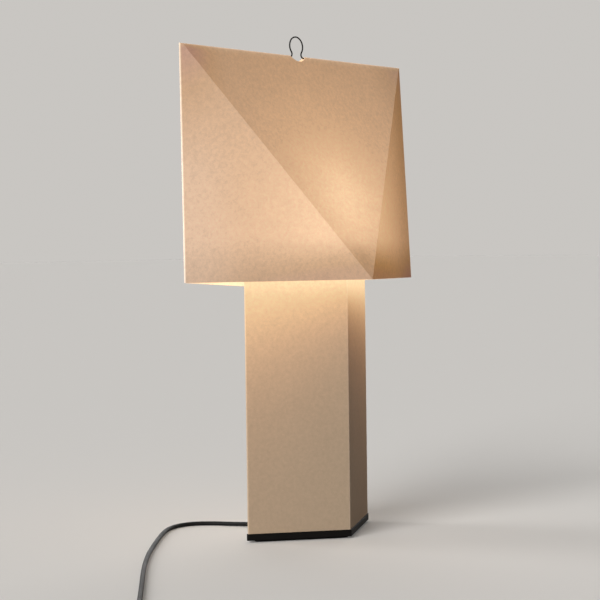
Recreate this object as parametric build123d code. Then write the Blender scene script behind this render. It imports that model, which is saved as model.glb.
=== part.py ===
from build123d import *
import math
import os

os.makedirs("parts", exist_ok=True)

# Millimetres, +Z up. The origin is on the floor, under the axis of the stem.
# The column is a rhombus in plan: its long diagonal lies along X, and so does the shade's ridge.

# ---------------------------------------------------------------- column and base
COLUMN_HALF_X = 119.0
COLUMN_HALF_Y = 79.0
COLUMN_TOP = 400.0
COLUMN_SHEET = 1.2
COLUMN_FOLD_RADIUS = 2.0
PAD_TOP = 3.0
PAD_SETBACK = 6.0
BASE_TOP = 12.0
BASE_PROUD = 1.3
FRAME_HEIGHT = 20.0
TOP_PLATE_LOW = 371.5
TOP_PLATE_HIGH = 374.5

# ---------------------------------------------------------------- stem and lampholder
STEM_RADIUS = 5.0
STEM_BORE_RADIUS = 3.5
STEM_LOW = 16.0
STEM_TOP = 331.0
BRACKET_LOW = 316.5
BRACKET_HIGH = 319.5
HOLDER_LOW = 321.0
HOLDER_BODY_LOW = 345.0
HOLDER_TOP = 383.0
HOLDER_THREAD_RADIUS = 19.75
SHELL_RADIUS = 13.45
BULB_LOW = 354.0
BULB_TOP = 462.0
BULB_RADIUS = 30.0
LOOSE = 0.05

# ---------------------------------------------------------------- wire hanger and shade
# Both are drawn upright here. They lean as one on the bracket, about LEAN_PIVOT_Z.
LEAN_PIVOT_Z = 318.0
LEAN_BACK = 2.6
LEAN_SIDE = 0.4
LEAN_TURN = 2.0
RIDGE_Z = 664.0
RIDGE_HALF = 221.0
SIDE_CORNER_X = 229.0
SIDE_CORNER_Z = 352.0
FRONT_CORNER_Y = 123.0
FRONT_CORNER_Z = 348.0
SHADE_SHEET = 0.6
TAPE = 0.4
RIDGE_FOLD_RADIUS = 3.5
SIDE_FOLD_RADIUS = 1.2
NOTCH_RADIUS = 18.4
NOTCH_RISE = 10.4
WIRE_RADIUS = 1.0
LEG_X = 46.0
LEG_BEND_Z = 500.0
SHOULDER_X = 90.0
SHOULDER_DROP = 2.05
LOOP_RADIUS = 13.0
LOOP_CENTRE_RISE = 13.9
LOOP_FOOT_RADIUS = 4.8

# ---------------------------------------------------------------- cord
CORD_RADIUS = 3.0
CORD_ON_FLOOR = 3.05
CORD_IN_BASE = 6.2
CORD_AT_EXIT = 4.2
CORD_TOP = 336.0
BASE_BEND_RADIUS = 8.0
ROUTE_SHARE = 0.45
CORD_HOLE_RADIUS = CORD_RADIUS + LOOSE
EXIT_POINT = (-18.0, 67.0)
GROOVE_BEND = (-5.7, 39.7)
EXIT_HEADING = math.degrees(math.atan2(EXIT_POINT[1] - GROOVE_BEND[1], EXIT_POINT[0] - GROOVE_BEND[0]))
GRIP_TAIL = 18.0

# What lies past the end of the visible cord is laid out along its heading: x on, y to the left.
FAR_ORIGIN = (-447.0, -175.0)
FAR_HEADING = 229.5
SWITCH_START = 76.0
SWITCH_LENGTH = 56.0
SWITCH_WIDTH = 22.0
SWITCH_LOW = 0.05
SWITCH_TOP = 13.0
SWITCH_WALL = 1.6
SWITCH_CORD_Z = 4.6
ROCKER_TILT = 8.0
ROCKER_PIVOT_Z = 9.4
COIL_START = 150.0
COIL_OUTER = 36.5
COIL_STEP = 3.25
COIL_TURNS_IN = 3
COIL_LAYER = 6.45
PLUG_FRONT = 76.0
PLUG_LENGTH = 36.0
PLUG_HALF_WIDTH = 17.65
PLUG_HEIGHT = 13.7
PLUG_Z = 6.9
PLUG_GRIP = 13.0
PIN_RADIUS = 2.0
PIN_LENGTH = 19.0
PIN_TIP = 1.4
PIN_ROOT_RADIUS = 1.6
PIN_ROOT = 10.0
PIN_SPACING = 19.0

COLUMN_REACH = COLUMN_HALF_X * COLUMN_HALF_Y / math.hypot(COLUMN_HALF_X, COLUMN_HALF_Y)
EXIT_ALONG = Vector(1, 0, 0).rotate(Axis.Z, EXIT_HEADING)
LEAN = (
    Pos(0, 0, LEAN_PIVOT_Z) * Rot(0, 0, LEAN_TURN) * Rot(0, LEAN_SIDE, 0) * Rot(-LEAN_BACK, 0, 0)
    * Pos(0, 0, -LEAN_PIVOT_Z)
)
FAR = Pos(FAR_ORIGIN[0], FAR_ORIGIN[1], 0) * Rot(0, 0, FAR_HEADING)


# ---------------------------------------------------------------- shared shapes
def rhombus(inset, corner_radius):
    """The column's plan, moved in from the paper's outside by inset."""
    scale = 1 - inset / COLUMN_REACH
    x, y = COLUMN_HALF_X * scale, COLUMN_HALF_Y * scale
    outline = make_face(Polyline((x, 0), (0, y), (-x, 0), (0, -y), close=True))
    return fillet(outline.vertices(), corner_radius)


def rhombic_block(inset, corner_radius, low, high):
    return Pos(0, 0, low) * extrude(rhombus(inset, corner_radius), high - low)


def rhombic_ring(outer_inset, inner_inset, corner_radius, low, high):
    inner_radius = max(corner_radius - (inner_inset - outer_inset), 0.4)
    outside = rhombic_block(outer_inset, corner_radius, low, high)
    return outside - rhombic_block(inner_inset, inner_radius, low - 1, high + 1)


def turned(*profile):
    """A body turned about Z from its (radius, z) corners."""
    return revolve(make_face(Polyline(*[(r, 0, z) for r, z in profile], close=True)), Axis.Z)


def disc(radius, low, high, x=0, y=0):
    return Pos(x, y, low) * extrude(Circle(radius), high - low)


def block(x_low, x_high, y_low, y_high, z_low, z_high):
    size = (x_high - x_low, y_high - y_low, z_high - z_low)
    return Pos(x_low, y_low, z_low) * Box(*size, align=(Align.MIN, Align.MIN, Align.MIN))


def channel(start, end, width, low, high):
    """A round-ended groove from one plan point to another."""
    run = Vector(*end) - Vector(*start)
    middle = (Vector(*start) + Vector(*end)) / 2
    slot = SlotCenterToCenter(run.length, width)
    turn = math.degrees(math.atan2(run.Y, run.X))
    return Pos(middle.X, middle.Y, low) * Rot(0, 0, turn) * extrude(slot, high - low)


def route_radii(points):
    """The largest arcs that a route's runs leave room for."""
    radii = []
    for before, here, after in zip(points, points[1:], points[2:]):
        arriving, leaving = Vector(*here) - Vector(*before), Vector(*after) - Vector(*here)
        half_turn = math.radians(arriving.get_angle(leaving)) / 2
        radii.append(ROUTE_SHARE * min(arriving.length, leaving.length) / math.tan(half_turn))
    return radii


def tube_along(path, radius):
    section = Plane(origin=path @ 0, z_dir=path % 0) * Circle(radius)
    return sweep(section, path=path)


def cord_tube(name, points, radii=None):
    """A cord along straight runs joined by tangent arcs, with its radii and volume printed."""
    radii = radii or route_radii(points)
    path = FilletPolyline(*points, radius=radii)
    tube = tube_along(path, CORD_RADIUS)
    expected = math.pi * CORD_RADIUS**2 * path.length
    print(name, "length", round(path.length), "radii", [round(r) for r in radii],
          "volume ratio", round(tube.volume / expected, 4))
    return tube


def save(name, shape):
    export_step(shape, f"parts/{name}.step")


def at_exit(along, z):
    """A point on the line through the cord's way out of the base."""
    point = Vector(*EXIT_POINT) + EXIT_ALONG * along
    return (point.X, point.Y, z)


def far_point(x, y, z):
    point = FAR * Pos(x, y, z)
    return tuple(point.position)


# ---------------------------------------------------------------- base
FRAME_SCREW_SHARE = 0.5 * (1 - 9 / COLUMN_REACH)
FRAME_SCREWS = [(COLUMN_HALF_X * FRAME_SCREW_SHARE * sx, COLUMN_HALF_Y * FRAME_SCREW_SHARE * sy)
                for sx in (-1, 1) for sy in (-1, 1)]
FLANGE_SCREWS = [(20 * math.cos(math.radians(a)), 20 * math.sin(math.radians(a)))
                 for a in (30, 150, 270)]
SCREW_RADIUS = 2.0
SCREW_TIP = 5.0


def base_plate():
    """Steel plate that weighs the lamp down, grooved below for the cord."""
    plate = rhombic_block(-BASE_PROUD, 3.5, PAD_TOP, BASE_TOP)
    plate = fillet(plate.edges().group_by(Axis.Z)[-1], 0.8)
    groove_top = CORD_IN_BASE + CORD_RADIUS + 0.3
    outside = at_exit(12, 0)[:2]
    plate -= channel((0, 0), GROOVE_BEND, 8, 0, groove_top)
    plate -= channel(GROOVE_BEND, outside, 8, 0, groove_top)
    rise = Vector(*GROOVE_BEND).normalized() * 4.5
    plate -= channel((0, 0), (rise.X, rise.Y), 8, 0, BASE_TOP + 1)
    for x, y in FRAME_SCREWS + FLANGE_SCREWS:
        plate -= disc(SCREW_RADIUS + LOOSE, SCREW_TIP, BASE_TOP + 1, x, y)
    return plate


def foot_pad():
    """Rubber sheet under the plate, slit where the cord comes down to the floor."""
    pad = rhombic_block(PAD_SETBACK, 6, 0, PAD_TOP)
    return pad - channel(at_exit(-19, 0)[:2], at_exit(12, 0)[:2], 9, -1, PAD_TOP + 1)


def cord_grip():
    """Rubber bush that holds the cord in the plate's groove, with a short tail on it."""
    across = 4.0
    bush = block(-9, 4.5, -across, across, 0.6, CORD_IN_BASE + CORD_RADIUS + 0.3)
    tail = Pos(0, 0, CORD_AT_EXIT) * Rot(0, 90, 0) * Pos(0, 0, 4.5) * Cone(
        3.9, 3.45, GRIP_TAIL - 4.5, align=(Align.CENTER, Align.CENTER, Align.MIN))
    bore = Pos(-12, 0, CORD_AT_EXIT) * Rot(0, 90, 0) * extrude(Circle(CORD_HOLE_RADIUS), 40)
    return Pos(*EXIT_POINT, 0) * Rot(0, 0, EXIT_HEADING) * (bush + tail - bore)


def screw(x, y, seat, tip, radius=SCREW_RADIUS, head_radius=3.75, head_height=2.5):
    head = disc(head_radius, seat, seat + head_height, x, y)
    head = chamfer(head.edges().group_by(Axis.Z)[-1], 0.8)
    return head + disc(radius, tip, seat, x, y)


save("base_plate", base_plate())
save("foot_pad", foot_pad())
save("cord_grip", cord_grip())


# ---------------------------------------------------------------- column
def column_sheet():
    """Folded card sleeve, with its glue flap inside the back corner."""
    sheet = rhombic_ring(0, COLUMN_SHEET, COLUMN_FOLD_RADIUS, BASE_TOP, COLUMN_TOP)
    low, high = BASE_TOP + FRAME_HEIGHT + 1, TOP_PLATE_LOW - 11
    lining = rhombic_ring(COLUMN_SHEET, 2 * COLUMN_SHEET, 1, low, high)
    return sheet + (lining & block(2, 16, 40, 80, low, high))


def bottom_frame():
    """Angle frame that locates the sleeve on the plate."""
    inside = COLUMN_SHEET
    upstand = rhombic_ring(inside, inside + 3, 2, BASE_TOP, BASE_TOP + FRAME_HEIGHT)
    foot = rhombic_ring(inside, inside + 14, 2, BASE_TOP, BASE_TOP + 2)
    frame = upstand + foot
    for x, y in FRAME_SCREWS:
        frame -= disc(SCREW_RADIUS + LOOSE, 0, 40, x, y)
    return frame


def top_plate():
    """Lid inside the sleeve's top, clamped between the lampholder's two rings."""
    plate = rhombic_block(COLUMN_SHEET, 2, TOP_PLATE_LOW, TOP_PLATE_HIGH)
    plate += rhombic_ring(COLUMN_SHEET, COLUMN_SHEET + 2, 2, TOP_PLATE_LOW - 10, TOP_PLATE_LOW)
    plate -= disc(HOLDER_THREAD_RADIUS + 0.5, 300, 400)
    for side in (-1, 1):
        leg = LEAN * Pos(side * LEG_X, 0, TOP_PLATE_LOW)
        plate -= disc(3, 300, 400, leg.position.X, leg.position.Y)
        for vent_x in (66, 78, 90):
            plate -= channel((side * vent_x, -9), (side * vent_x, 9), 5, 300, 400)
    return plate


save("column_sheet", column_sheet())
save("column_bottom_frame", bottom_frame())
save("column_frame_screws", Compound([screw(x, y, BASE_TOP + 2, SCREW_TIP) for x, y in FRAME_SCREWS]))
save("column_top_plate", top_plate())


# ---------------------------------------------------------------- stem
def stem_flange():
    flange = turned((4.2, 12), (27, 12), (27, 15), (26, 16), (9, 16), (9, 28), (STEM_RADIUS + LOOSE, 28),
                    (STEM_RADIUS + LOOSE, STEM_LOW), (4.2, STEM_LOW))
    for x, y in FLANGE_SCREWS:
        flange -= disc(SCREW_RADIUS + LOOSE, 0, 40, x, y)
    return flange


def stem_tube():
    return turned((STEM_BORE_RADIUS, STEM_LOW), (STEM_RADIUS, STEM_LOW), (STEM_RADIUS, STEM_TOP),
                  (STEM_BORE_RADIUS, STEM_TOP))


def bracket():
    """Flat bar across the stem that carries the wire hanger."""
    bar = Pos(0, 0, BRACKET_LOW) * extrude(SlotOverall(112, 16), BRACKET_HIGH - BRACKET_LOW)
    return Rot(0, 0, LEAN_TURN) * (bar - disc(STEM_RADIUS + 0.1, 300, 330))


def bracket_nut():
    nut = Pos(0, 0, BRACKET_LOW - 5) * extrude(RegularPolygon(8.5, 6), 5)
    return nut - disc(STEM_RADIUS + LOOSE, 300, 330)


def bracket_washer():
    return disc(12, BRACKET_HIGH, HOLDER_LOW) - disc(STEM_RADIUS + LOOSE, 300, 330)


def wire_socket(side):
    """Boss on the bracket, bored along the leaning leg of the wire."""
    boss = LEAN * disc(4, 310, 336, side * LEG_X)
    boss -= block(-80, 80, -20, 20, 300, BRACKET_HIGH)
    boss -= LEAN * disc(WIRE_RADIUS + LOOSE, BRACKET_HIGH + 2, 340, side * LEG_X)
    return boss - socket_screw_space(side)


def socket_screw_space(side):
    return LEAN * Pos(side * LEG_X, 0, 329) * Rot(0, side * 90, 0) * extrude(Circle(1.5 + LOOSE), 8)


def socket_screw(side):
    place = LEAN * Pos(side * (LEG_X + WIRE_RADIUS), 0, 329) * Rot(0, side * 90, 0)
    return place * (extrude(Circle(1.5), 4.5) - Pos(0, 0, 3.2) * extrude(RegularPolygon(0.85, 6), 2))


save("stem_flange", stem_flange())
save("stem_flange_screws", Compound([screw(x, y, 16, SCREW_TIP) for x, y in FLANGE_SCREWS]))
save("stem_tube", stem_tube())
save("hanger_bracket", bracket())
save("bracket_nut", bracket_nut())
save("bracket_washer", bracket_washer())
save("hanger_sockets", Compound([wire_socket(-1), wire_socket(1)]))
save("hanger_set_screws", Compound([socket_screw(-1), socket_screw(1)]))


# ---------------------------------------------------------------- lampholder
def holder_cap():
    return turned((STEM_RADIUS + LOOSE, HOLDER_LOW), (9, HOLDER_LOW), (9, 329), (14, 332), (21, 337),
                  (23, 341), (23, HOLDER_BODY_LOW), (20.5, HOLDER_BODY_LOW), (20.5, 341.5), (19.3, 339),
                  (13, 334.5), (3.6, 333.5), (3.6, STEM_TOP), (STEM_RADIUS + LOOSE, STEM_TOP))


def holder_body():
    r = HOLDER_THREAD_RADIUS
    return turned((16.8, HOLDER_BODY_LOW), (22, HOLDER_BODY_LOW), (22, 357), (21, 358), (r, 358),
                  (r, HOLDER_TOP - 1), (r - 1, HOLDER_TOP), (15, HOLDER_TOP), (14.1, HOLDER_TOP - 1),
                  (14.1, 353.2), (16.8, 353.2))


def holder_insert():
    """Ceramic disc that carries the contacts, with two holes for the leads."""
    insert = disc(16.5, HOLDER_BODY_LOW, 353)
    return insert - disc(1.3, 340, 360, 0, 7) - disc(1.3, 340, 360, 0, -7)


def thread_shell():
    outside = SHELL_RADIUS + 0.4
    return turned((SHELL_RADIUS, 353), (outside, 353), (outside, 379), (SHELL_RADIUS, 379))


def holder_contacts():
    """Spring tongue for the bulb's tip, and a tab for its screw shell."""
    tongue = make_face(Polyline((-10, 353), (-5.5, 353), (-3.5, 353.4), (3.5, 353.4), (3.5, 353.9),
                                (-3.7, 353.9), (-5.7, 353.5), (-10, 353.5), close=True))
    centre = Pos(0, 2.5, 0) * extrude(Plane.XZ * tongue, 5)
    return Compound([centre, block(11.3, 12.6, -2.5, 2.5, 353, 356.5)])


def holder_ring(low):
    """Threaded ring with a scalloped rim."""
    ring = disc(28, low, low + 4.5) - disc(HOLDER_THREAD_RADIUS + LOOSE, low - 1, low + 6)
    for k in range(16):
        ring -= Rot(0, 0, 22.5 * k) * disc(2, low - 1, low + 6, 29, 0)
    return ring


save("lampholder_cap", holder_cap())
save("lampholder_body", holder_body())
save("lampholder_insert", holder_insert())
save("lampholder_thread_shell", thread_shell())
save("lampholder_contacts", holder_contacts())
save("lampholder_lower_ring", holder_ring(TOP_PLATE_LOW - 4.5))
save("lampholder_upper_ring", holder_ring(TOP_PLATE_HIGH))


# ---------------------------------------------------------------- bulb
def bulb_contact():
    return turned((0, BULB_LOW), (4.5, BULB_LOW), (5, 354.8), (9, 357.5), (0, 357.5))


def bulb_screw_cap():
    return turned((0, 357.5), (9, 357.5), (12, 360), (13.15, 361), (13.15, 380), (0, 380))


def bulb_collar():
    """Plastic neck that takes the heat from the light board."""
    return turned((0, 380), (13.2, 380), (13.5, 384), (17.5, 392), (23, 403), (21.8, 403),
                  (21.8, 402), (0, 402))


def bulb_globe():
    """Opal ball, hollow, on a short cone that stands on the neck's rim."""
    centre, wall, joint = BULB_TOP - BULB_RADIUS, 0.8, 412.0
    ball = Pos(0, 0, centre) * (Sphere(BULB_RADIUS) - Sphere(BULB_RADIUS - wall))
    rim = math.sqrt(BULB_RADIUS**2 - (centre - joint) ** 2)
    cone = turned((22.1, 403), (23, 403), (rim + 0.2, joint + 0.5), (rim - 0.9, joint + 0.5))
    return ball - block(-40, 40, -40, 40, 380, joint) + cone


def bulb_light_board():
    return disc(20, 402, 403.6)


save("bulb_contact", bulb_contact())
save("bulb_screw_cap", bulb_screw_cap())
save("bulb_collar", bulb_collar())
save("bulb_globe", bulb_globe())
save("bulb_light_board", bulb_light_board())


# ---------------------------------------------------------------- wire hanger
def hanger_path():
    """One bent wire: leg, shoulder under the ridge, open loop above it, and back down."""
    shoulder_z = RIDGE_Z - SHOULDER_DROP
    loop_z = RIDGE_Z + LOOP_CENTRE_RISE
    foot_z = shoulder_z + LOOP_FOOT_RADIUS
    foot_x = math.sqrt((LOOP_RADIUS + LOOP_FOOT_RADIUS) ** 2 - (loop_z - foot_z) ** 2)
    meet = LOOP_RADIUS / (LOOP_RADIUS + LOOP_FOOT_RADIUS)
    meet_x, meet_z = foot_x * meet, loop_z + (foot_z - loop_z) * meet
    into_foot = math.atan2(meet_z - foot_z, meet_x - foot_x)
    mid_angle = (1.5 * math.pi + into_foot) / 2
    mid_x = foot_x + LOOP_FOOT_RADIUS * math.cos(mid_angle)
    mid_z = foot_z + LOOP_FOOT_RADIUS * math.sin(mid_angle)
    sides = []
    for side in (-1, 1):
        leg = FilletPolyline((side * LEG_X, 0, BRACKET_HIGH + 2.1), (side * LEG_X, 0, LEG_BEND_Z),
                             (side * SHOULDER_X, 0, shoulder_z), (side * foot_x, 0, shoulder_z),
                             radius=[60, 8])
        foot = ThreePointArc((side * foot_x, 0, shoulder_z), (side * mid_x, 0, mid_z),
                             (side * meet_x, 0, meet_z))
        sides += [leg, foot]
    loop = ThreePointArc((-meet_x, 0, meet_z), (0, 0, loop_z + LOOP_RADIUS), (meet_x, 0, meet_z))
    return Wire(Curve() + sides + [loop])


save("wire_hanger", LEAN * tube_along(hanger_path(), WIRE_RADIUS))


# ---------------------------------------------------------------- shade
# Two folded paper sheets: each has an upper triangle under the ridge and one on either side.
# Together they are the space inside three wedges with rounded tips, less the same space set in.
SHADE_FAR = 700.0


def wedge_profile(reach, half_width, fold_radius, set_in):
    """A rounded V, tip at the origin, whose outside passes half_width out at reach from the tip."""
    span = math.hypot(half_width, reach - fold_radius)
    half_angle = math.atan2(half_width, reach - fold_radius) - math.asin(fold_radius / span)
    radius = fold_radius - set_in
    across, along = math.cos(half_angle), math.sin(half_angle)
    touch_x, touch_y = radius * across, fold_radius - radius * along
    far_x, far_y = touch_x + SHADE_FAR * along, touch_y + SHADE_FAR * across
    tip = ThreePointArc((-touch_x, touch_y), (0, set_in), (touch_x, touch_y))
    walls = Polyline((touch_x, touch_y), (far_x, far_y), (-far_x, far_y), (-touch_x, touch_y))
    return make_face(Curve() + [tip, walls])


def wedge(origin, direction, reach, fold_radius, set_in):
    """The V along a fold line, opening away from the plane's lower side."""
    plane = Plane(origin=origin, x_dir=(0, 1, 0), z_dir=direction)
    profile = wedge_profile(reach, FRONT_CORNER_Y, fold_radius, set_in)
    return extrude(plane * profile, SHADE_FAR, both=True)


def shade_space(set_in):
    side = Vector(SIDE_CORNER_X - RIDGE_HALF, 0, SIDE_CORNER_Z - RIDGE_Z).normalized()
    to_corner = Vector(-RIDGE_HALF, 0, FRONT_CORNER_Z - RIDGE_Z)
    inward = Vector(side.Z, 0, -side.X)
    reach = to_corner.dot(inward)
    space = wedge((0, 0, RIDGE_Z), (-1, 0, 0), RIDGE_Z - FRONT_CORNER_Z, RIDGE_FOLD_RADIUS, set_in)
    space &= wedge((RIDGE_HALF, 0, RIDGE_Z), -side, reach, SIDE_FOLD_RADIUS, set_in)
    left = Vector(-side.X, 0, side.Z)
    return space & wedge((-RIDGE_HALF, 0, RIDGE_Z), left, reach, SIDE_FOLD_RADIUS, set_in)


def below_shade():
    """Everything under the two straight bottom edges of each sheet."""
    rise = (SIDE_CORNER_Z - FRONT_CORNER_Z) * SHADE_FAR / SIDE_CORNER_X
    profile = Polyline((-SHADE_FAR, 0, FRONT_CORNER_Z + rise), (0, 0, FRONT_CORNER_Z),
                       (SHADE_FAR, 0, FRONT_CORNER_Z + rise), (SHADE_FAR, 0, -SHADE_FAR),
                       (-SHADE_FAR, 0, -SHADE_FAR), close=True)
    return extrude(make_face(profile), SHADE_FAR, both=True)


def notch():
    return Pos(0, 0, RIDGE_Z + NOTCH_RISE) * Rot(90, 0, 0) * Cylinder(NOTCH_RADIUS, 80)


OUTER = shade_space(0) - below_shade() - notch()
INNER = shade_space(SHADE_SHEET)
LINED = shade_space(SHADE_SHEET + TAPE)


def front_half():
    return block(-300, 300, -300, 0, 300, 700)


def shade_sheet(side):
    sheet = (OUTER - INNER) & (front_half() if side == "front" else Rot(0, 0, 180) * front_half())
    return LEAN * sheet


def tape_space():
    return (INNER - LINED) - below_shade() - notch()


def ridge_tape():
    return LEAN * (tape_space() & block(-205, 205, -40, 40, RIDGE_Z - 14, RIDGE_Z))


def side_tape(side):
    """Joining strip inside a side edge, short of both its ends."""
    lean_x = (SIDE_CORNER_X - RIDGE_HALF) / (RIDGE_Z - SIDE_CORNER_Z)
    top, bottom = RIDGE_Z - 18, SIDE_CORNER_Z + 4
    top_x = RIDGE_HALF + lean_x * (RIDGE_Z - top)
    bottom_x = RIDGE_HALF + lean_x * (RIDGE_Z - bottom)
    corners = [(top_x + 4, top), (top_x - 13, top), (bottom_x - 13, bottom), (bottom_x + 4, bottom)]
    strip = make_face(Polyline(*[(side * x, 0, z) for x, z in corners], close=True))
    return LEAN * (tape_space() & extrude(strip, 40, both=True))


save("shade_front_sheet", shade_sheet("front"))
save("shade_back_sheet", shade_sheet("back"))
save("shade_ridge_tape", ridge_tape())
save("shade_left_tape", side_tape(-1))
save("shade_right_tape", side_tape(1))


# ---------------------------------------------------------------- cord in the lamp
def inner_cord():
    """From the lampholder down the stem, along the plate's groove and out through the grip."""
    points = [(0, 0, CORD_TOP), (0, 0, CORD_IN_BASE), (*GROOVE_BEND, CORD_IN_BASE),
              at_exit(-14, CORD_AT_EXIT), at_exit(GRIP_TAIL, CORD_AT_EXIT)]
    radii = route_radii(points)
    radii[0] = BASE_BEND_RADIUS
    return cord_tube("inner_cord", points, radii)


def holder_leads():
    """Two insulated leads from the cord's end to the ceramic disc."""
    leads = []
    for side in (-1, 1):
        path = FilletPolyline((0, side * 1.5, CORD_TOP), (0, side * 1.5, 339), (0, side * 7, 343.5),
                              (0, side * 7, 346), radius=[1.5, 1.5])
        leads.append(tube_along(path, 1.1))
    return Compound(leads)


save("inner_cord", inner_cord())
save("lampholder_leads", holder_leads())


# ---------------------------------------------------------------- free cord
CORD_DIAMETER = 2 * CORD_RADIUS
SWITCH_END = SWITCH_START + SWITCH_LENGTH
LEAD_ROUTE = [
    at_exit(GRIP_TAIL, CORD_AT_EXIT), at_exit(GRIP_TAIL + 12.4, CORD_AT_EXIT),
    (-41.5, 120, CORD_ON_FLOOR), (-56, 146, CORD_ON_FLOOR), (-82, 166.5, CORD_ON_FLOOR),
    (-117, 162, CORD_ON_FLOOR), (-153, 136, CORD_ON_FLOOR), (-202, 91, CORD_ON_FLOOR),
    (-264, 32, CORD_ON_FLOOR), (-324, -32, CORD_ON_FLOOR), (-380, -97, CORD_ON_FLOOR),
    (-426, -151, CORD_ON_FLOOR),
    far_point(22, 0, CORD_ON_FLOOR), far_point(53, 0, SWITCH_CORD_Z), far_point(84, 0, SWITCH_CORD_Z),
]


def half_turn(start, radius, way, climb=0.0):
    """A half circle to the left, entered along x (way is 1 or -1), in two quarters if it climbs."""
    x, y, z = start
    end = (x, y + way * 2 * radius, z + climb)
    if not climb:
        return [ThreePointArc(start, (x + way * radius, y + way * radius, z), end)], end
    quarter = math.hypot(2 * radius, climb) / 2
    ahead = Vector(way * quarter, 0, 0)
    middle = Vector(x, y + way * radius, z + climb / 2) + ahead
    return [quarter_turn(Vector(*start), Vector(*start) + ahead, middle),
            quarter_turn(middle, Vector(*end) + ahead, Vector(*end))], end


def quarter_turn(start, corner, end):
    centre = start + end - corner
    through = centre + (corner - centre).normalized() * (start - centre).length
    return ThreePointArc(start, through, end)


def coil_path():
    """In on the floor, up a layer in the half turn where the spiral reverses, and out on top."""
    inward = [COIL_OUTER - k * COIL_STEP for k in range(COIL_TURNS_IN)]
    climbing = inward[-1] - COIL_STEP
    point, way = (COIL_START, 0, CORD_ON_FLOOR), 1
    edges = [Line((COIL_START - CORD_DIAMETER, 0, CORD_ON_FLOOR), point)]
    for radius in inward + [climbing] + inward[::-1]:
        climb = COIL_LAYER if radius == climbing else 0.0
        arcs, point = half_turn(point, radius, way, climb)
        edges += arcs
        way = -way
    end = (point[0] - CORD_DIAMETER, point[1], point[2])
    return Wire(Curve() + edges + [Line(point, end)]), end


def least_gap(path, samples=700, apart=30.0):
    """The least space between two stretches of a tube that are apart along it."""
    places = [path @ (k / samples) for k in range(samples + 1)]
    skip = math.ceil(apart / path.length * samples)
    return min((places[i] - places[j]).length
               for i in range(samples + 1) for j in range(i + skip, samples + 1)) - CORD_DIAMETER


def cord_coil():
    path, _ = coil_path()
    tube = tube_along(path, CORD_RADIUS)
    expected = math.pi * CORD_RADIUS**2 * path.length
    print("cord_coil length", round(path.length), "least gap", round(least_gap(path), 3),
          "volume ratio", round(tube.volume / expected, 4))
    return FAR * tube


def cord_to_coil():
    """From the switch down to the floor, where the coil starts."""
    return cord_tube("cord_to_coil", [
        far_point(SWITCH_END - 4, 0, SWITCH_CORD_Z),
        far_point(SWITCH_END + 1.5, 0, SWITCH_CORD_Z),
        far_point(SWITCH_END + 7, 0, CORD_ON_FLOOR),
        far_point(COIL_START - CORD_DIAMETER, 0, CORD_ON_FLOOR),
    ])


def cord_to_plug():
    """From the coil's upper layer down to the height of the plug."""
    x, y, z = coil_path()[1]
    mouth = PLUG_FRONT + PLUG_LENGTH + PLUG_GRIP
    return cord_tube("cord_to_plug", [
        far_point(x, y, z),
        far_point(x - 6, y, z),
        far_point(mouth + 5, y, PLUG_Z),
        far_point(mouth - 3, y, PLUG_Z),
    ])


save("cord_lead", cord_tube("cord_lead", LEAD_ROUTE))
save("cord_to_coil", cord_to_coil())
save("cord_coil", cord_coil())
save("cord_to_plug", cord_to_plug())


# ---------------------------------------------------------------- switch on the cord
SWITCH = FAR * Pos(SWITCH_START + SWITCH_LENGTH / 2, 0, 0)
SWITCH_SCREWS = [(-14.5, 6.2), (14.5, -6.2)]


def switch_block(set_in, low, high):
    outline = RectangleRounded(SWITCH_LENGTH - 2 * set_in, SWITCH_WIDTH - 2 * set_in, 7 - set_in)
    return Pos(0, 0, low) * extrude(outline, high - low)


def switch_cord_bore():
    return Pos(-40, 0, SWITCH_CORD_Z) * Rot(0, 90, 0) * extrude(Circle(CORD_HOLE_RADIUS), 80)


def switch_lower_shell():
    shell = switch_block(0, SWITCH_LOW, SWITCH_CORD_Z)
    shell = chamfer(shell.edges().group_by(Axis.Z)[0], 0.8)
    shell -= switch_block(SWITCH_WALL, SWITCH_LOW + 1.5, SWITCH_CORD_Z + 1)
    for x, y in SWITCH_SCREWS:
        shell += disc(2.9, SWITCH_LOW + 1.5, SWITCH_CORD_Z, x, y)
        shell -= disc(1.3, -1, 10, x, y) + disc(2.3, -1, 2.1, x, y)
    return SWITCH * (shell - switch_cord_bore())


def switch_upper_shell():
    shell = switch_block(0, SWITCH_CORD_Z, SWITCH_TOP)
    shell = fillet(shell.edges().group_by(Axis.Z)[-1], 2.2)
    roof = SWITCH_TOP - SWITCH_WALL
    shell -= switch_block(SWITCH_WALL, SWITCH_CORD_Z - 1, roof)
    shell -= block(-10.3, 10.3, -5.1, 5.1, roof - 1, SWITCH_TOP + 1)
    for side in (-1, 1):
        shell += block(-3, 3, side * 6.2 - 1, side * 6.2 + 1, 7, roof)
    shell -= Pos(0, -10, ROCKER_PIVOT_Z) * Rot(-90, 0, 0) * extrude(Circle(1 + LOOSE), 20)
    for x, y in SWITCH_SCREWS:
        shell += disc(2.9, SWITCH_CORD_Z, roof, x, y)
        shell -= disc(1.05, 0, 10.1, x, y)
    return SWITCH * (shell - switch_cord_bore())


def switch_rocker():
    """Rocker with a shallow V on top, resting with its far end pressed."""
    profile = make_face(Polyline((-9.6, 13.4), (0, 12), (9.6, 13.4), (9.6, 11), (4, 7.4), (-4, 7.4),
                                 (-9.6, 11), close=True))
    rocker = Pos(0, 4.8, 0) * extrude(Plane.XZ * profile, 9.6)
    rocker -= Pos(0, -10, ROCKER_PIVOT_Z) * Rot(-90, 0, 0) * extrude(Circle(1 + LOOSE), 20)
    tilt = Pos(0, 0, ROCKER_PIVOT_Z) * Rot(0, ROCKER_TILT, 0) * Pos(0, 0, -ROCKER_PIVOT_Z)
    return SWITCH * tilt * rocker


def switch_pin():
    return SWITCH * Pos(0, -7.2, ROCKER_PIVOT_Z) * Rot(-90, 0, 0) * extrude(Circle(1), 14.4)


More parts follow.
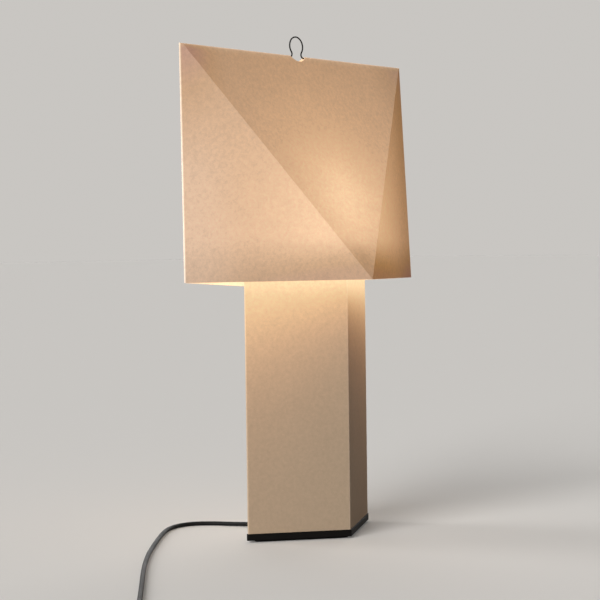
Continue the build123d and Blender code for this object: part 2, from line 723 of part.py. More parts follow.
def switch_terminals():
    blocks = [block(x - 2.5, x + 2.5, -2.5, 2.5, SWITCH_LOW + 1.5, 6.6) for x in (-12, 12)]
    return SWITCH * Compound(blocks)


def switch_screws():
    screws = [disc(2.2, 0.6, 2.1, x, y) + disc(1, 2.1, 10, x, y) for x, y in SWITCH_SCREWS]
    return SWITCH * Compound(screws)


save("switch_lower_shell", switch_lower_shell())
save("switch_upper_shell", switch_upper_shell())
save("switch_rocker", switch_rocker())
save("switch_rocker_pin", switch_pin())
save("switch_terminals", switch_terminals())
save("switch_screws", switch_screws())


# ---------------------------------------------------------------- plug
PLUG = FAR * Pos(PLUG_FRONT, coil_path()[1][1], PLUG_Z)


def plug_body():
    """Flat two-pin plug, widest at its face and waisted towards the cord."""
    half, long = PLUG_HALF_WIDTH, PLUG_LENGTH
    corners = [(0, half), (9, half), (22, half * 0.62), (long, half * 0.4)]
    outline = make_face(Polyline(*corners, *[(x, -y) for x, y in corners[::-1]], close=True))
    outline = fillet(outline.vertices(), 2.5)
    body = Pos(0, 0, -PLUG_HEIGHT / 2) * extrude(outline, PLUG_HEIGHT)
    body = fillet(body.edges().group_by(Axis.Z)[0] + body.edges().group_by(Axis.Z)[-1], 2.4)
    for side in (-1, 1):
        body -= plug_pin_space(side)
    return PLUG * body


def plug_pin_space(side):
    hole = extrude(Circle(PIN_ROOT_RADIUS + LOOSE), PIN_ROOT + 1)
    return Pos(0, side * PIN_SPACING / 2, 0) * Rot(0, 90, 0) * hole


def plug_pins():
    pins = []
    for side in (-1, 1):
        pin = Pos(-PIN_LENGTH, 0, 0) * Rot(0, 90, 0) * extrude(Circle(PIN_RADIUS), PIN_LENGTH)
        pin = fillet(pin.edges().group_by(Axis.X)[0], PIN_TIP)
        root = Rot(0, 90, 0) * extrude(Circle(PIN_ROOT_RADIUS), PIN_ROOT)
        pins.append(Pos(0, side * PIN_SPACING / 2, 0) * (pin + root))
    return PLUG * Compound(pins)


def plug_grip():
    """Ribbed sleeve between the plug and the cord."""
    grip = Pos(PLUG_LENGTH, 0, 0) * Rot(0, 90, 0) * Cone(
        5.4, 4.1, PLUG_GRIP, align=(Align.CENTER, Align.CENTER, Align.MIN))
    for k in range(3):
        ring = Pos(PLUG_LENGTH + 2.5 + 3.4 * k, 0, 0) * Rot(0, 90, 0)
        grip -= ring * (extrude(Circle(8), 1.4) - extrude(Circle(3.6), 1.4))
    mouth = Pos(PLUG_LENGTH + PLUG_GRIP - 3, 0, 0) * Rot(0, 90, 0)
    return PLUG * (grip - mouth * extrude(Circle(CORD_HOLE_RADIUS), 4))


save("plug_body", plug_body())
save("plug_pins", plug_pins())
save("plug_grip", plug_grip())

lift = (LEAN * Pos(0, 0, 1)).position - LEAN.position
hinge = SWITCH * Pos(0, 0, ROCKER_PIVOT_Z)
across = (SWITCH * Pos(0, 1, 0)).position - SWITCH.position
print("lift axis", tuple(round(v, 6) for v in lift))
print("rocker pivot", tuple(round(v, 3) for v in hinge.position))
print("rocker axis", tuple(round(v, 5) for v in across))
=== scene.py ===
import math

import bpy
import numpy as np
from mathutils import Matrix, Vector


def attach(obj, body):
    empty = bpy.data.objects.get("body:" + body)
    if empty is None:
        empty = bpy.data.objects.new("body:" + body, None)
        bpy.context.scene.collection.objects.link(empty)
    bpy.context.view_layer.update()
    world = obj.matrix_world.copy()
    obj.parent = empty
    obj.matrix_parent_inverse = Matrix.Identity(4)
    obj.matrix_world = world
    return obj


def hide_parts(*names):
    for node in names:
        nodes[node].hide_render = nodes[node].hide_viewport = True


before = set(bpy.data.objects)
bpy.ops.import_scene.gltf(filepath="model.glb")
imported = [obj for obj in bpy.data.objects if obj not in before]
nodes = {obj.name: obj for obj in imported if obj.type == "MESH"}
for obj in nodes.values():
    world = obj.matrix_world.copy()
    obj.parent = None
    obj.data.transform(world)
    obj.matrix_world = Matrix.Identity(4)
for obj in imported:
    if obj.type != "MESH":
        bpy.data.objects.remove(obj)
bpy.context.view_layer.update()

# ---- Base plate, foot pad and cord grip ----
# A 9 mm steel plate in fine black powder coat weighs the lamp down. A thin rubber sheet is glued
# under it, and a moulded rubber grip holds the lead in the plate's groove.
COAT_BLACK = (0.0075, 0.0065, 0.006)
RUBBER_BLACK = (0.010, 0.0095, 0.009)
BROAD_PER_METRE, TONE_SPREAD, ROUGH_SPREAD = 35, (0.38, 0.62), (0.35, 0.65)
MIX_FIRST, MIX_SECOND, MIXED = 6, 7, 2


def blank_finish(name):
    """A new finish: the material, its node tree and its shader."""
    material = bpy.data.materials.new(name)
    material.use_nodes = True
    tree = material.node_tree
    return material, tree, tree.nodes["Principled BSDF"]


def part_of(tree, kind, inputs=(), output=0, **settings):
    """One node of a finish, with its inputs linked or filled, as the output that is asked for."""
    node = tree.nodes.new("ShaderNode" + kind)
    for key, value in settings.items():
        setattr(node, key, value)
    for key, value in dict(inputs).items():
        if isinstance(value, bpy.types.NodeSocket):
            tree.links.new(value, node.inputs[key])
        else:
            node.inputs[key].default_value = value
    return node.outputs[output]


def worked(tree, operation, *terms):
    """Plain arithmetic on sockets and numbers."""
    return part_of(tree, "Math", enumerate(terms), operation=operation)


def weighed(tree, *parts):
    """The sum of several values, each times its own weight."""
    total, *others = (worked(tree, "MULTIPLY", value, weight) for value, weight in parts)
    for other in others:
        total = worked(tree, "ADD", total, other)
    return total


def place_on(tree, stretch=(1, 1, 1)):
    """A point's place on the piece, in metres; a stretch under 1 draws a grain out that way."""
    here = part_of(tree, "TexCoord", output="Object")
    if stretch == (1, 1, 1):
        return here
    return part_of(tree, "Mapping", {"Vector": here, "Scale": stretch}, vector_type="POINT")


def grain(tree, per_metre, detail=3.0, stretch=(1, 1, 1), rough=0.55):
    """Cloudy noise about 0.5, with so many patches to the metre."""
    return part_of(tree, "TexNoise", {"Vector": place_on(tree, stretch), "Scale": per_metre,
                                      "Detail": detail, "Roughness": rough})


def ranged(tree, value, low, high, new_low, new_high, curve="LINEAR"):
    """Moves a value from one range to another, held at both ends."""
    return part_of(tree, "MapRange", {"Value": value, "From Min": low, "From Max": high,
                                      "To Min": new_low, "To Max": new_high},
                   interpolation_type=curve)


def blended(tree, share, first, second):
    """Two colours mixed by a share."""
    first, second = ((*colour, 1) if isinstance(colour, tuple) else colour
                     for colour in (first, second))
    return part_of(tree, "Mix", {"Factor": share, MIX_FIRST: first, MIX_SECOND: second},
                   output=MIXED, data_type="RGBA")


def raised(tree, height, depth, strength=1.0):
    """The surface's slope from a height between 0 and 1 that stands for a depth in metres."""
    return part_of(tree, "Bump", {"Height": height, "Distance": depth, "Strength": strength})


def plain_finish(name, dark, light, rough, per_metre, depth, gloss=0.5):
    """A finish that varies a little between two colours and two roughnesses, by 6 parts of its
    fine grain to 4 of a broad one, over a relief from the fine grain."""
    material, tree, shader = blank_finish(name)
    fine = grain(tree, per_metre)
    broad = grain(tree, BROAD_PER_METRE, 2.0)
    mixed = weighed(tree, (fine, 0.6), (broad, 0.4))
    share = ranged(tree, mixed, *TONE_SPREAD, 0, 1)
    tree.links.new(blended(tree, share, dark, light), shader.inputs["Base Color"])
    tree.links.new(ranged(tree, mixed, *ROUGH_SPREAD, *rough), shader.inputs["Roughness"])
    tree.links.new(raised(tree, fine, depth), shader.inputs["Normal"])
    shader.inputs["Specular IOR Level"].default_value = gloss
    return material


def dress(material, *names):
    """Puts a finish on whole CAD pieces."""
    for name in names:
        piece = nodes[name]
        piece.data.materials.clear()
        piece.data.materials.append(material)


def toned(colour, by):
    """A colour made lighter or darker."""
    return tuple(min(1.0, value * by) for value in colour)


powder_coat = plain_finish("black_powder_coat", toned(COAT_BLACK, 0.8), toned(COAT_BLACK, 1.35),
                           rough=(0.5, 0.65), per_metre=1700, depth=0.00006, gloss=0.06)
rubber = plain_finish("black_rubber", toned(RUBBER_BLACK, 0.8), toned(RUBBER_BLACK, 1.3),
                      rough=(0.72, 0.9), per_metre=900, depth=0.00005, gloss=0.12)
dress(powder_coat, "base_plate")
dress(rubber, "foot_pad", "cord_grip")

# ---- Column frame, stem and bracket ----
# The card is held by a zinc plated angle frame on the base. A threaded stem stands on a flange in
# its middle and carries a black cross bar, which holds the two legs of the wire.
ZINC = (0.50, 0.50, 0.49)
CRYSTALS_PER_METRE, METAL_SPREAD, DULLEST, BRIGHTEST = 420, (0.25, 0.75), 0.85, 1.12
MARKS_PER_METRE, MARKS_UPRIGHT, MARK_DEPTH = 2600, (1, 1, 0.08), 0.00001


def plated_finish(name, colour, rough):
    """Plating or bare brass: bright metal in small dull and bright crystals, half and half with
    fine upright polishing marks, which also make the relief."""
    material, tree, shader = blank_finish(name)
    crystals = part_of(tree, "TexVoronoi", {"Vector": place_on(tree), "Scale": CRYSTALS_PER_METRE},
                       output="Color")
    tone = part_of(tree, "RGBToBW", {"Color": crystals})
    marks = grain(tree, MARKS_PER_METRE, 2.0, MARKS_UPRIGHT)
    share = ranged(tree, weighed(tree, (tone, 0.5), (marks, 0.5)), *METAL_SPREAD, 0, 1)
    tree.links.new(blended(tree, share, toned(colour, DULLEST), toned(colour, BRIGHTEST)),
                   shader.inputs["Base Color"])
    tree.links.new(ranged(tree, share, 0, 1, *rough), shader.inputs["Roughness"])
    tree.links.new(raised(tree, marks, MARK_DEPTH), shader.inputs["Normal"])
    shader.inputs["Metallic"].default_value = 1.0
    return material


zinc_plate = plated_finish("zinc_plate", ZINC, rough=(0.28, 0.45))
dress(zinc_plate, "column_bottom_frame", "column_frame_screws", "stem_flange", "stem_flange_screws",
      "stem_tube", "bracket_nut", "bracket_washer", "hanger_set_screws")
dress(powder_coat, "hanger_bracket", "hanger_sockets")

# ---- Folded paper column ----
# One sheet of 1.2 mm card, scored and folded into a rhombic sleeve and glued to the frame. The
# lamp at its mouth shines down inside it, so the paper glows at the top and fades to the base.
COLUMN_SIDE, COLUMN_FRONT, COLUMN_TOP = 0.119, 0.079, 0.400
COLUMN_PAPER, COLUMN_MOTTLE = (0.514, 0.386, 0.265), 0.75
FIBRES_PER_METRE, FLOCKS_PER_METRE, CLOUDS_PER_METRE = 900, 200, 26
FIBRE_WEIGHT, FLOCK_WEIGHT, CLOUD_WEIGHT = 0.28, 0.38, 0.08
FIBRES_LEVEL, FIBRE_DEPTH, PAPER_ROUGH, PAPER_GLOSS = (0.7, 0.7, 1.3), 0.00012, (0.72, 0.9), 0.25
SURFACE_MOTTLE, LIGHT_MOTTLE = 0.95, 1.4
SHADE_HEM = 0.353
FADE_WIDTH, WIDER_LEFT, WIDER_RIGHT = 0.0445, 0.037, 0.0215
RED_FADE, GREEN_FADE, BLUE_FADE = (0.69, 1.0), (0.54, 0.73), (0.335, 0.60)
# Painted highlights: thin light lines along the folds, where the rounded card catches light from
# behind.
LEFT_FOLD, LEFT_FOLD_HIGHLIGHT = (-0.11717, -0.11789), (0.20, 0.22, 0.20)
RIGHT_FOLD, RIGHT_FOLD_HIGHLIGHT = (0.11717, 0.11789), (0.03, 0.045, 0.04)
MIDDLE_FOLD, MIDDLE_FOLD_HIGHLIGHT = (0.0018, 0.0008), (0.060, 0.050, 0.040)
COLUMN_INSIDE, INSIDE_FADE = (1.0, 0.76, 0.48), 9.0


def paper_fibres(tree):
    """The paper's uneven thickness about 0, from fine level fibres, flocks and soft clouds less
    their mean, and the fibres alone."""
    fibres = grain(tree, FIBRES_PER_METRE, 4.0, FIBRES_LEVEL, 0.7)
    flocks = grain(tree, FLOCKS_PER_METRE, 3.5, rough=0.65)
    clouds = grain(tree, CLOUDS_PER_METRE, 2.0)
    uneven = weighed(tree, (fibres, FIBRE_WEIGHT), (flocks, FLOCK_WEIGHT), (clouds, CLOUD_WEIGHT))
    mean = 0.5 * (FIBRE_WEIGHT + FLOCK_WEIGHT + CLOUD_WEIGHT)
    return worked(tree, "SUBTRACT", uneven, mean), fibres


def scaled(tree, values, amount):
    """A colour or direction times an amount."""
    return part_of(tree, "VectorMath", {0: values, "Scale": amount}, operation="SCALE")


def fixed(tree, values):
    """Three numbers or sockets as one colour or direction."""
    return part_of(tree, "CombineXYZ", enumerate(values))


def added(tree, colour, more, share):
    """A colour with a share of another added to it."""
    return part_of(tree, "VectorMath", {0: colour, 1: scaled(tree, fixed(tree, more), share)},
                   operation="ADD")


def measured(tree, first, second):
    """How far one direction reaches along another: their scalar product."""
    return part_of(tree, "VectorMath", {0: first, 1: second}, output="Value",
                   operation="DOT_PRODUCT")


def coordinates(tree):
    """A point's x, y and z on the piece, in metres."""
    return part_of(tree, "SeparateXYZ", {"Vector": place_on(tree)}).node.outputs


def outwards(tree, away):
    """How far a surface faces away from the lamp, above 0 on a piece's outside: its normal
    measured along the way from the lamp to the point."""
    return measured(tree, part_of(tree, "TexCoord", output="Normal"), away)


def paper_shader(tree, shader, colour, glow, uneven=1.0):
    """Matt paper in its own colour, with the light that comes through it; thick and thin places
    show more in that light than on the surface."""
    thickness, fibres = paper_fibres(tree)
    for mottle, shown, socket in ((SURFACE_MOTTLE, fixed(tree, colour), "Base Color"),
                                  (LIGHT_MOTTLE, glow, "Emission Color")):
        level = worked(tree, "ADD", worked(tree, "MULTIPLY", thickness, mottle * uneven), 1.0)
        tree.links.new(scaled(tree, shown, level), shader.inputs[socket])
    tree.links.new(ranged(tree, fibres, 0.3, 0.7, *PAPER_ROUGH), shader.inputs["Roughness"])
    tree.links.new(raised(tree, fibres, FIBRE_DEPTH, 0.5), shader.inputs["Normal"])
    shader.inputs["Emission Strength"].default_value = 1.0
    shader.inputs["Specular IOR Level"].default_value = PAPER_GLOSS


def column_finish():
    """Outside, the glow is A / (1 + (d / w)^2) at d below the shade's hem, with a width w that
    grows from the middle folds to the side folds and is narrower for green and blue; painted
    highlights show the folds as thin light lines. Inside, the lamp's light fades as exp(-9 d)
    below the mouth."""
    material, tree, shader = blank_finish("column_paper")
    x, y, z = coordinates(tree)
    below = worked(tree, "MAXIMUM", worked(tree, "SUBTRACT", SHADE_HEM, z), 0.0)
    wider = worked(tree, "ADD", ranged(tree, x, -COLUMN_SIDE, 0, WIDER_LEFT, 0),
                   ranged(tree, x, 0, COLUMN_SIDE, 0, WIDER_RIGHT))
    ratio = worked(tree, "DIVIDE", below, worked(tree, "ADD", wider, FADE_WIDTH))
    bands = []
    for strength, narrower in (RED_FADE, GREEN_FADE, BLUE_FADE):
        square = worked(tree, "POWER", worked(tree, "DIVIDE", ratio, narrower), 2.0)
        bands.append(worked(tree, "DIVIDE", strength, worked(tree, "ADD", square, 1.0)))
    outside = fixed(tree, bands)
    # Painted highlights along the side and middle folds.
    for fold_highlight, across, fold in (
        (LEFT_FOLD_HIGHLIGHT, x, LEFT_FOLD),
        (RIGHT_FOLD_HIGHLIGHT, x, RIGHT_FOLD),
        (MIDDLE_FOLD_HIGHLIGHT, worked(tree, "ABSOLUTE", x), MIDDLE_FOLD),
    ):
        outside = added(tree, outside, fold_highlight, ranged(tree, across, *fold, 0, 1))
    depth = worked(tree, "SUBTRACT", COLUMN_TOP, z)
    fade = worked(tree, "EXPONENT", worked(tree, "MULTIPLY", depth, -INSIDE_FADE))
    inside = scaled(tree, fixed(tree, COLUMN_INSIDE), fade)
    level_way = fixed(tree, (x, y, 0.0))
    is_outside = worked(tree, "GREATER_THAN", outwards(tree, level_way), 0.0)
    glow = blended(tree, is_outside, inside, outside)
    paper_shader(tree, shader, COLUMN_PAPER, glow, COLUMN_MOTTLE)
    return material


dress(column_finish(), "column_sheet")

# ---- Top plate ----
# A white painted steel lid inside the column's mouth, clamped between the lampholder's two rings.
# Six slots in it let the warm air through.
white_paint = plain_finish("white_paint", (0.62, 0.58, 0.51), (0.70, 0.66, 0.59),
                           rough=(0.4, 0.55), per_metre=1200, depth=0.00003)
dress(white_paint, "column_top_plate")

# ---- Lampholder ----
# Black phenolic cap, threaded body and two scalloped rings, with a ceramic disc and brass contacts
# inside. Its cap screws on the stem.
phenolic = plain_finish("black_phenolic", (0.012, 0.012, 0.012), (0.022, 0.021, 0.020),
                        rough=(0.3, 0.42), per_metre=500, depth=0.00002)
ceramic = plain_finish("white_ceramic", (0.62, 0.60, 0.55), (0.72, 0.70, 0.66),
                       rough=(0.35, 0.5), per_metre=700, depth=0.00002)
brass = plated_finish("brass", (0.62, 0.43, 0.17), rough=(0.25, 0.4))
dress(phenolic, "lampholder_cap", "lampholder_body", "lampholder_lower_ring",
      "lampholder_upper_ring")
dress(ceramic, "lampholder_insert")
dress(brass, "lampholder_thread_shell", "lampholder_contacts", "bulb_contact")

# ---- Lamp ----
# A small globe lamp: nickel plated screw cap, white plastic collar and an opal ball that is lit.
# It screws into the lampholder.
COLLAR_TOP, GLOBE_BRIGHT = 0.402, 0.425
LIT, DULL_BY_THE_COLLAR, LIT_STRENGTH = (1.0, 0.85, 0.63), 0.7, 1.4
OPAL, OPAL_PER_METRE, OPAL_CLOUDS, OPAL_ROUGH = (0.75, 0.72, 0.66), 160, (0.97, 1.03), (0.28, 0.34)
nickel = plated_finish("nickel_plate", (0.60, 0.58, 0.55), rough=(0.18, 0.3))
white_plastic = plain_finish("white_plastic", (0.66, 0.63, 0.58), (0.72, 0.69, 0.64),
                             rough=(0.35, 0.45), per_metre=900, depth=0.00002)


def opal_finish():
    """Milky diffuser, brightest in its middle and a little duller by the collar."""
    material, tree, shader = blank_finish("lit_opal")
    z = coordinates(tree)[2]
    share = ranged(tree, z, COLLAR_TOP, GLOBE_BRIGHT, 0, 1, "SMOOTHSTEP")
    cloud = ranged(tree, grain(tree, OPAL_PER_METRE, 2.0), 0.3, 0.7, *OPAL_CLOUDS)
    light = blended(tree, share, toned(LIT, DULL_BY_THE_COLLAR), LIT)
    tree.links.new(scaled(tree, light, cloud), shader.inputs["Emission Color"])
    tree.links.new(ranged(tree, cloud, *OPAL_CLOUDS, *OPAL_ROUGH), shader.inputs["Roughness"])
    shader.inputs["Base Color"].default_value = (*OPAL, 1)
    shader.inputs["Emission Strength"].default_value = LIT_STRENGTH
    return material


dress(nickel, "bulb_screw_cap")
dress(white_plastic, "bulb_collar", "bulb_light_board")
dress(opal_finish(), "bulb_globe")

# ---- Wire hanger ----
# One 2 mm steel wire in satin black: two legs in the bracket's sockets, shoulders under the ridge
# and an open loop that stands out of the notch.
satin_wire = plain_finish("satin_black_wire", (0.005, 0.0045, 0.004), (0.010, 0.009, 0.008),
                          rough=(0.4, 0.52), per_metre=1500, depth=0.00002, gloss=0.15)
dress(satin_wire, "wire_hanger")

# ---- Folded paper shade ----
# Two sheets of thick paper, each folded into three flat facets, joined by strips inside the ridge
# and the sides. The lamp behind them shows as a warm spot, and the column's rim as a soft shadow.
SHADE_PAPER, TAPE_GLOW_SHARE = (0.586, 0.48, 0.387), 0.85
LAMP_CENTRE, NEAREST_SQUARED = (0.0, 0.0, 0.432), 0.00709
LEAST_RIM, NONE_SHOWS, ALL_SHOWS = 1.05, 0.462, 0.372
RIM_SHIFT_WIDTH, RIM_SHIFT = 0.04, 0.006
UP_THE_SHADE = (0.00539, 0.04558, 0.99895)
ACROSS_THE_SHADE, LEFT_JOINT = (0.99923, 0.03373, -0.0326), 0.24024
EVEN_GLOW = (0.224, 0.110, 0.043)
SPOT_WIDE, SPOT_HOT = (0.423, 0.174, 0.026), (0.027, 0.119, 0.126)
IN_THE_SHADOW = (0.018, -0.034, -0.077)
HIGHER_UP, MIDDLE_HEIGHT, HALF_HEIGHT = (-0.049, -0.036, -0.030), 0.5, 0.15
# Painted shade: the glow dims towards the right end. Painted light: it is lighter at the left end
# low down and dimmer high up.
RIGHT_END_SHADE, RIGHT_REACH = (-0.078, -0.053, -0.036), (0.13, 0.225)
LEFT_END_LIGHT, LEFT_REACH = (0.053, 0.055, 0.055), (-0.14, -0.22)
LEFT_CLIMB, LEFT_CLIMB_SHARES = (0.50, 0.65), (1, -1.3)
# Painted shade by the hem; painted highlights along the ridge and the left joint, where the rounded
# folds catch light from behind.
HEM_SHADE, HEM_REACH = (-0.085, -0.065, -0.050), (0.408, 0.352)
RIDGE_HIGHLIGHT, RIDGE_REACH = (0.050, 0.055, 0.050), (0.656, 0.664)
LEFT_EDGE_HIGHLIGHT, LEFT_EDGE_REACH = (0.320, 0.320, 0.290), (0.0016, 0.0006)
SHADE_INSIDE, INSIDE_EVEN, INSIDE_SPOT = (1.0, 0.80, 0.53), 0.55, 0.5


def lamp_light(tree):
    """What reaches a point of the shade straight from the lamp, 1 at its nearest: the cosine over
    the distance squared, which is the outward length over the distance cubed. And that outward
    length."""
    away = part_of(tree, "VectorMath", {0: place_on(tree), 1: LAMP_CENTRE}, operation="SUBTRACT")
    outward = outwards(tree, away)
    distance = part_of(tree, "VectorMath", {0: away}, output="Value", operation="LENGTH")
    level = worked(tree, "MULTIPLY", worked(tree, "ABSOLUTE", outward), NEAREST_SQUARED)
    return worked(tree, "DIVIDE", level, worked(tree, "POWER", distance, 3.0)), outward


def clear_of_the_rim(tree, x, y, z):
    """The share of the globe that shows over the column's rim, from where the line from the point
    over the rim meets the stem's axis: z + (400 mm - z) r / (r - 1), with r the point's place
    across the rhombus in half diagonals. To the right the line is taken a little lower."""
    rim = worked(tree, "ADD", worked(tree, "DIVIDE", worked(tree, "ABSOLUTE", x), COLUMN_SIDE),
                 worked(tree, "DIVIDE", worked(tree, "ABSOLUTE", y), COLUMN_FRONT))
    rim = worked(tree, "MAXIMUM", rim, LEAST_RIM)
    steepness = worked(tree, "DIVIDE", rim, worked(tree, "SUBTRACT", rim, 1.0))
    climb = worked(tree, "MULTIPLY", worked(tree, "SUBTRACT", COLUMN_TOP, z), steepness)
    lower = ranged(tree, x, 0, RIM_SHIFT_WIDTH, 0, RIM_SHIFT)
    crossing = worked(tree, "SUBTRACT", worked(tree, "ADD", z, climb), lower)
    return ranged(tree, crossing, NONE_SHOWS, ALL_SHOWS, 0, 1, "SMOOTHSTEP")


def shade_finish(name, glow_share=1.0):
    """Light through the paper is an even glow, and the square root of the lamp's light, which
    stands for its scatter in the paper, with a little of that light itself; the half shadow of
    the column's rim takes it away. Painted shade dims it by the right end and the hem, painted
    light brightens the left end low down and dims it high up, and painted highlights run along
    the ridge and the left joint. The inside is lit by the lamp."""
    material, tree, shader = blank_finish(name)
    x, y, z = coordinates(tree)
    direct, outward = lamp_light(tree)
    scatter = worked(tree, "SQRT", direct)
    seen = clear_of_the_rim(tree, x, y, z)
    hidden = worked(tree, "SUBTRACT", 1.0, seen)
    height = worked(tree, "DIVIDE", worked(tree, "SUBTRACT", z, MIDDLE_HEIGHT), HALF_HEIGHT)
    left_end = worked(tree, "MULTIPLY", ranged(tree, x, *LEFT_REACH, 0, 1, "SMOOTHSTEP"),
                      ranged(tree, z, *LEFT_CLIMB, *LEFT_CLIMB_SHARES))
    up_it = measured(tree, place_on(tree), UP_THE_SHADE)
    from_joint = worked(tree, "ADD", LEFT_JOINT, measured(tree, place_on(tree), ACROSS_THE_SHADE))
    outside = fixed(tree, EVEN_GLOW)
    # Even glow, lamp light and rim shadow, then painted shade at the right end and hem, painted
    # light at the left end, and painted highlights on the ridge and left joint.
    for colour, share in (
        (HIGHER_UP, height),
        (SPOT_WIDE, worked(tree, "MULTIPLY", scatter, seen)),
        (SPOT_HOT, worked(tree, "MULTIPLY", direct, seen)),
        (IN_THE_SHADOW, worked(tree, "MULTIPLY", scatter, hidden)),
        (RIGHT_END_SHADE, ranged(tree, x, *RIGHT_REACH, 0, 1, "SMOOTHSTEP")),
        (LEFT_END_LIGHT, left_end),
        (HEM_SHADE, ranged(tree, z, *HEM_REACH, 0, 1)),
        (RIDGE_HIGHLIGHT, ranged(tree, up_it, *RIDGE_REACH, 0, 1)),
        (LEFT_EDGE_HIGHLIGHT, ranged(tree, from_joint, *LEFT_EDGE_REACH, 0, 1)),
    ):
        outside = added(tree, outside, colour, share)
    outside = part_of(tree, "VectorMath", {0: outside, 1: (0, 0, 0)}, operation="MAXIMUM")
    bright = worked(tree, "ADD", INSIDE_EVEN, worked(tree, "MULTIPLY", scatter, INSIDE_SPOT))
    inside = scaled(tree, fixed(tree, SHADE_INSIDE), bright)
    is_outside = worked(tree, "GREATER_THAN", outward, 0.0)
    glow = scaled(tree, blended(tree, is_outside, inside, outside), glow_share)
    paper_shader(tree, shader, SHADE_PAPER, glow)
    return material


dress(shade_finish("shade_paper"), "shade_front_sheet", "shade_back_sheet")
# The tapes carry a smaller share of the painted glow than the sheets.
dress(shade_finish("paper_tape", TAPE_GLOW_SHARE), "shade_ridge_tape", "shade_left_tape",
      "shade_right_tape")

# ---- Lead, switch and plug ----
# A round two-core lead in a matt black sheath leaves the base's back corner, lies in a loose bend
# and runs out past the view, where its spare length is wound up beside the switch and plug.
LEAD_RADIUS, LEAD_LOW = 0.003, 0.00305
FAR_FROM, FAR_HEADING = np.array([-0.447, -0.175]), math.radians(229.5)
TURN_POINTS, TURN_STEP = 8, math.pi / 8
COIL_AHEAD, COIL_LAYER = 0.150, 0.00645
COIL_RADII = np.array([36.5, 33.25, 30.0, 26.75, 30.0, 33.25, 36.5]) / 1000
HALF_TURNS = len(COIL_RADII)


def far_points(along_it, across_it, height):
    """Places past the bend, measured along the lead's heading, to its left and up."""
    along_it, across_it, height = np.broadcast_arrays(along_it, across_it, height)
    c, s = math.cos(FAR_HEADING), math.sin(FAR_HEADING)
    return np.stack([FAR_FROM[0] + along_it * c - across_it * s,
                     FAR_FROM[1] + along_it * s + across_it * c, height], -1)


def coil_points():
    """Half circles to the left whose radius shrinks by half a lead each, then grows again a layer
    higher. A smooth line of this order runs at 3/4 + 1/4 cos(step) of its points' radius, so the
    points stand that much further out."""
    way = np.where(np.arange(HALF_TURNS) % 2 == 0, 1, -1)
    start = np.concatenate([[0], np.cumsum(2 * COIL_RADII * way)])[:-1, None]
    angle = (np.arange(TURN_POINTS) + 0.5) * TURN_STEP
    out = COIL_RADII[:, None] / (0.75 + 0.25 * math.cos(TURN_STEP))
    ahead = COIL_AHEAD + way[:, None] * out * np.sin(angle)
    left = start + way[:, None] * (COIL_RADII[:, None] - out * np.cos(angle))
    climb = np.clip(np.arange(HALF_TURNS)[:, None] - HALF_TURNS // 2 + angle / math.pi, 0, 1)
    return far_points(ahead.ravel(), left.ravel(), (LEAD_LOW + COIL_LAYER * climb).ravel())


near = np.array([
    (-25.39, 83.41, 4.2), (-30.49, 94.72, 4.2), (-41.5, 120, 3.05), (-56, 146, 3.05),
    (-82, 166.5, 3.05), (-117, 162, 3.05), (-153, 136, 3.05), (-202, 91, 3.05),
    (-264, 32, 3.05), (-324, -32, 3.05), (-380, -97, 3.05), (-426, -151, 3.05),
]) / 1000
at_switch = far_points(np.array([22, 53, 84, 128, 133.5, 139, 144]) / 1000, 0.0,
                       np.array([3.05, 4.6, 4.6, 4.6, 4.6, 3.05, 3.05]) / 1000)
to_plug = far_points(np.array([144, 138, 130, 122]) / 1000, 0.0795,
                     np.array([9.5, 9.5, 6.9, 6.9]) / 1000)
route = np.concatenate([near, at_switch, coil_points(), to_plug])


def lead_curve(name, points, radius):
    """A round lead on one smooth line through its route."""
    curve = bpy.data.curves.new(name, "CURVE")
    curve.dimensions = "3D"
    spline = curve.splines.new("NURBS")
    spline.points.add(len(points) - 1)
    spline.points.foreach_set("co", np.c_[points, np.ones(len(points))].ravel())
    spline.order_u = 3
    spline.use_endpoint_u = True
    spline.resolution_u = 8
    curve.bevel_depth = radius
    curve.bevel_resolution = 5
    curve.use_fill_caps = True
    lead = bpy.data.objects.new(name, curve)
    bpy.context.scene.collection.objects.link(lead)
    return lead


sheath = plain_finish("black_sheath", (0.006, 0.006, 0.0062), (0.0105, 0.0103, 0.0105),
                      rough=(0.5, 0.65), per_metre=1300, depth=0.00004, gloss=0.15)
switch_plastic = plain_finish("black_switch_plastic", (0.008, 0.008, 0.008), (0.014, 0.014, 0.014),
                              rough=(0.3, 0.42), per_metre=1600, depth=0.00003, gloss=0.35)
plug_plastic = plain_finish("black_plug_plastic", (0.009, 0.009, 0.009), (0.015, 0.015, 0.015),
                            rough=(0.42, 0.58), per_metre=1500, depth=0.00004, gloss=0.3)
lead = lead_curve("power_lead", route, LEAD_RADIUS)
lead.data.materials.append(sheath)
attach(lead, "lamp")
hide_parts("cord_lead", "cord_to_coil", "cord_coil", "cord_to_plug")
dress(sheath, "inner_cord", "lampholder_leads")
dress(switch_plastic, "switch_lower_shell", "switch_upper_shell", "switch_rocker")
dress(zinc_plate, "switch_rocker_pin", "switch_screws")
dress(brass, "switch_terminals")
dress(plug_plastic, "plug_body", "plug_grip")
dress(nickel, "plug_pins")

# ---- Floor, light and camera ----
# A plain pale floor, a wide soft key from the camera's left, a weaker soft light behind on either
# side, and the photograph's viewpoint.
PALE = (1.0, 0.968, 0.925)
FLOOR_SEEN, FLOOR_BOUNCE, FLOOR_LIFT = 0.59, 0.14, 0.10
BACKDROP_SEEN, ROOM_BOUNCE = 0.582, (0.075, 0.075, 0.075)
FLOOR_REACH, FLOOR_HEIGHT = 40.0, -0.0001
CAMERA_AT, CAMERA_HEADING = np.array([-1.6319, -1.6449, 0.400]), np.array([0.7014, 0.7128])
CAMERA_PITCH, CAMERA_ROLL = math.radians(1.87), math.radians(-0.77)
CAMERA_LENS, FILM_WIDTH, FAR_LIMIT = 99.9, 36.0, 200.0


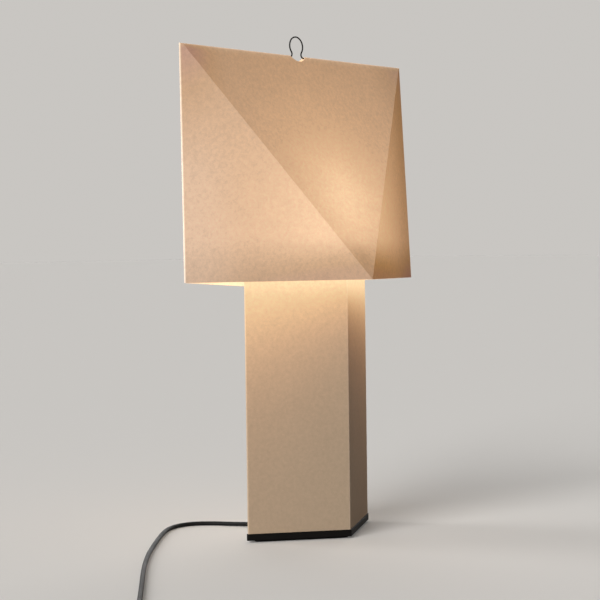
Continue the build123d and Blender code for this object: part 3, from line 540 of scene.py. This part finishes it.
def seen_share(tree):
    """1 for what the camera, a mirror or glass looks at, 0 for light that bounces."""
    path = tree.nodes.new("ShaderNodeLightPath")
    share = worked(tree, "MAXIMUM", path.outputs["Is Camera Ray"], path.outputs["Is Glossy Ray"])
    return worked(tree, "MAXIMUM", share, path.outputs["Is Transmission Ray"])


corners = FLOOR_REACH * np.array([(-1, -1), (1, -1), (1, 1), (-1, 1)])
floor_mesh = bpy.data.meshes.new("floor")
floor_mesh.from_pydata(np.c_[corners, np.full(4, FLOOR_HEIGHT)].tolist(), [], [(0, 1, 2, 3)])
floor = bpy.data.objects.new("floor", floor_mesh)
bpy.context.scene.collection.objects.link(floor)
material, tree, shader = blank_finish("pale_floor")
tone = ranged(tree, seen_share(tree), 0, 1, FLOOR_BOUNCE, FLOOR_SEEN)
tree.links.new(scaled(tree, fixed(tree, PALE), tone), shader.inputs["Base Color"])
shader.inputs["Roughness"].default_value = 1.0
shader.inputs["Specular IOR Level"].default_value = 0.0
tree.links.new(worked(tree, "MULTIPLY", seen_share(tree), FLOOR_LIFT),
               shader.inputs["Emission Strength"])
shader.inputs["Emission Color"].default_value = (*PALE, 1)
floor_mesh.materials.append(material)

world = bpy.data.worlds.new("studio")
bpy.context.scene.world = world
world.use_nodes = True
tree = world.node_tree
around = blended(tree, seen_share(tree), ROOM_BOUNCE, toned(PALE, BACKDROP_SEEN))
tree.links.new(around, tree.nodes["Background"].inputs["Color"])


def soft_sun(name, towards, strength, spread):
    """A far, wide lamp that stands in a direction, as strong all over the object; its spread is
    in degrees."""
    lamp = bpy.data.lights.new(name, "SUN")
    lamp.energy, lamp.angle = strength, math.radians(spread)
    holder = bpy.data.objects.new(name, lamp)
    holder.rotation_mode = "QUATERNION"
    holder.rotation_quaternion = Vector(towards).normalized().to_track_quat("Z", "Y")
    bpy.context.scene.collection.objects.link(holder)


soft_sun("key", (-0.856, -0.177, 0.486), strength=2.85, spread=35)
soft_sun("back_left", (-0.50, 0.80, 0.34), strength=1.1, spread=25)
soft_sun("back_right", (0.75, 0.62, 0.45), strength=1.3, spread=60)

ahead = np.array([*(CAMERA_HEADING * math.cos(CAMERA_PITCH)), -math.sin(CAMERA_PITCH)])
level = np.array([CAMERA_HEADING[1], -CAMERA_HEADING[0], 0.0])
upright = np.cross(level, ahead)
right = math.cos(CAMERA_ROLL) * level + math.sin(CAMERA_ROLL) * upright
up = math.cos(CAMERA_ROLL) * upright - math.sin(CAMERA_ROLL) * level
view = bpy.data.cameras.new("view")
view.sensor_width, view.lens, view.clip_end = FILM_WIDTH, CAMERA_LENS, FAR_LIMIT
camera = bpy.data.objects.new("view", view)
bpy.context.scene.collection.objects.link(camera)
stand = np.eye(4)
stand[:3] = np.stack([right, up, -ahead, CAMERA_AT], 1)
camera.matrix_world = Matrix(stand.tolist())
bpy.context.scene.camera = camera
bpy.context.scene.view_settings.view_transform = "Standard"
